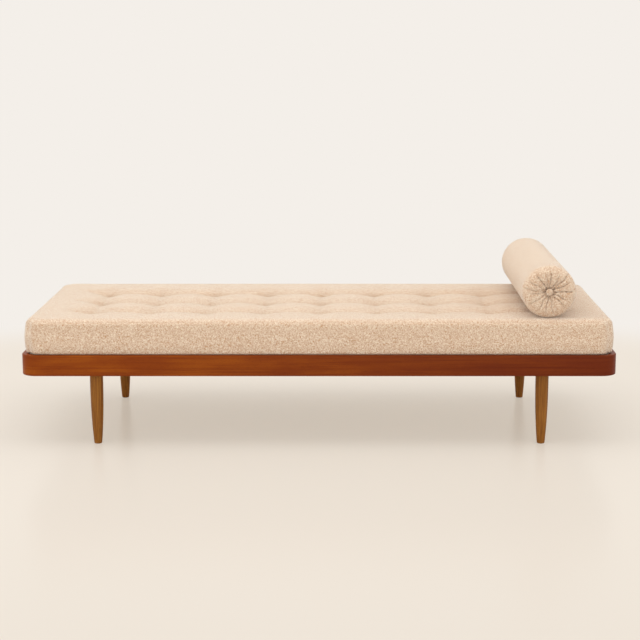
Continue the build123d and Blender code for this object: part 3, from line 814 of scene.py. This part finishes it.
# The pleats are sunk along the profile's normal, which is its step turned by a quarter.
step_radius = np.gradient(radius)
step_along = np.gradient(lengthways)
step = np.hypot(step_radius, step_along)
depth = pleat_depth * np.minimum(crease, pleat_most)
roll_radius = radius[:, None] - (step_along / step)[:, None] * depth
roll_along = lengthways[:, None] + (step_radius / step)[:, None] * depth
roll = np.stack((
    bolster_axis[0] + roll_radius * np.cos(angle), roll_along,
    bolster_axis[1] + bolster_tallness * roll_radius * np.sin(angle),
), -1)
bolster = new_piece("boucle_bolster", roll, tube_faces(*roll.shape[:2]), crease=all_smooth)
# Painted shade in the pleats, darker as they sink deeper.
fold_painted_shade = bolster.data.attributes.new("fold_painted_shade", "FLOAT", "POINT")
fold_painted_shade.data.foreach_set("value", pleat_shade * np.minimum(crease, 1).ravel() ** 2)
bolster.data.materials.append(boucle)
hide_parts("bolster_cover", "bolster_core")
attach(bolster, "bolster")

# Bolster buttons: domed buttons covered in the boucle, one at each end, sewn into the gathers so that
# they close them.
button_radius = 11.5 * mm
button_height = 8 * mm
button_sunk = 7 * mm
button_rings = 12
button_segments = 48
button = dome(button_radius, button_height, button_rings, button_segments)
for node, end in (("bolster_button_front", -1), ("bolster_button_rear", 1)):
    points = np.stack((
        bolster_axis[0] + button[..., 0], end * (bolster_half - button_sunk + button[..., 2]),
        bolster_axis[1] + button[..., 1],
    ), -1)
    faces = tube_faces(*button.shape[:2])
    piece = new_piece("boucle_" + node, points, faces if end < 0 else [face[::-1] for face in faces])
    piece.data.materials.append(boucle)
    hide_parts(node)
    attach(piece, "bolster")

# Studio: a pale, slightly glossy floor that fades to the wall's white, a soft light from all round that
# is brighter near the horizon, a large soft lamp above, and the camera at the photograph's place.
wall_colour = srgb("F4EFE9")
floor_half = 20.0
floor_own_light = 0.45
# The floor fades to the wall between these distances from a point in front of the object.
floor_fade = (2.5, 3.3)
floor_fade_shift = (0.0, 1.2, 0.0)
# The light falls off evenly from the horizon up to directions that rise by this share.
upper_from = 0.6
horizon_light = 1.42
upper_light = 0.9
lamp_size = (5.0, 2.0)
lamp_watts = 43.0
lamp_place = (-0.4, -0.6, 2.9)
lamp_tilt = np.radians(10)
camera_lens = 90.65
camera_sensor = 36.0
camera_shift = -0.041
camera_place = (0.0867, -5.393, 1.3222)
camera_dip = 0.1794


def studio_floor():
    """Sealed pale floor: a low gloss that shows the legs softly. The camera sees it nearly half lit by
    its own colour, so that the shadow stays light, and far off it sees the wall's colour instead."""
    material, tree = new_finish("floor_sealed")
    place = put(tree, "TexCoord", {}).outputs["Object"]
    way = put(tree, "Mapping", {"Vector": place, "Location": floor_fade_shift})
    far = put(tree, "VectorMath", {0: way.outputs[0]}, operation="LENGTH")
    share = put(tree, "MapRange", {
        "Value": far.outputs["Value"], "From Min": floor_fade[0], "From Max": floor_fade[1],
        "To Min": floor_own_light,
    }, interpolation_type="SMOOTHSTEP")
    pale = put(tree, "MapRange", {"Value": share.outputs[0], "From Min": floor_own_light})
    glow = put(tree, "Mix", {
        "Factor": pale.outputs[0], "A": srgb("F3E8D8"), "B": wall_colour,
    }, data_type="RGBA")
    ray = put(tree, "LightPath", {})
    seen = put(tree, "Math", {
        0: ray.outputs["Is Camera Ray"], 1: share.outputs[0],
    }, operation="MULTIPLY")
    near = put(tree, "BsdfPrincipled", {
        "Base Color": srgb("DBD6D1"), "Roughness": 0.24, "Specular IOR Level": 0.2,
    })
    away = put(tree, "Emission", {"Color": glow.outputs["Result"], "Strength": 1.0})
    both = put(tree, "MixShader", {0: seen.outputs[0], 1: near.outputs[0], 2: away.outputs[0]})
    put(tree, "OutputMaterial", {"Surface": both.outputs[0]})
    return material


edge = np.array((-floor_half, floor_half))
points = np.stack(np.broadcast_arrays(edge[:, None], edge[None, :], 0.0), -1)
floor = new_piece("studio_floor", points, grid_faces(2, 2).tolist())
floor.data.materials.append(studio_floor())

scene = bpy.context.scene
scene.view_settings.view_transform = "Standard"
world = bpy.data.worlds.new("studio")
world.use_nodes = True
scene.world = world
tree = world.node_tree
tree.nodes.clear()
# Rays from the camera, off a gloss or through glass see the even wall, and others the soft light.
ray = put(tree, "LightPath", {})
seen = put(tree, "Math", {
    0: ray.outputs["Is Camera Ray"], 1: ray.outputs["Is Glossy Ray"],
}, operation="MAXIMUM")
seen = put(tree, "Math", {
    0: seen.outputs[0], 1: ray.outputs["Is Transmission Ray"],
}, operation="MAXIMUM")
way = put(tree, "TexCoord", {}).outputs["Generated"]
up = put(tree, "SeparateXYZ", {0: way}).outputs["Z"]
bright = put(tree, "MapRange", {
    "Value": up, "From Max": upper_from, "To Min": horizon_light, "To Max": upper_light,
})
light = put(tree, "Background", {"Color": srgb("FFFBF5"), "Strength": bright.outputs[0]})
wall = put(tree, "Background", {"Color": wall_colour, "Strength": 1.0})
both = put(tree, "MixShader", {0: seen.outputs[0], 1: light.outputs[0], 2: wall.outputs[0]})
put(tree, "OutputWorld", {"Surface": both.outputs[0]})

lamp = bpy.data.lights.new("softbox", "AREA")
lamp.shape = "RECTANGLE"
lamp.size, lamp.size_y = lamp_size
lamp.energy = lamp_watts
lamp.color = srgb("FFFCF8")[:3]
softbox = bpy.data.objects.new("softbox", lamp)
softbox.location = lamp_place
softbox.rotation_euler = (lamp_tilt, 0.0, 0.0)
scene.collection.objects.link(softbox)

lens = bpy.data.cameras.new("camera")
lens.lens = camera_lens
lens.sensor_width = camera_sensor
lens.shift_x = camera_shift
camera = bpy.data.objects.new("camera", lens)
camera.location = camera_place
camera.rotation_euler = (np.pi / 2 - camera_dip, 0.0, 0.0)
scene.collection.objects.link(camera)
scene.camera = camera
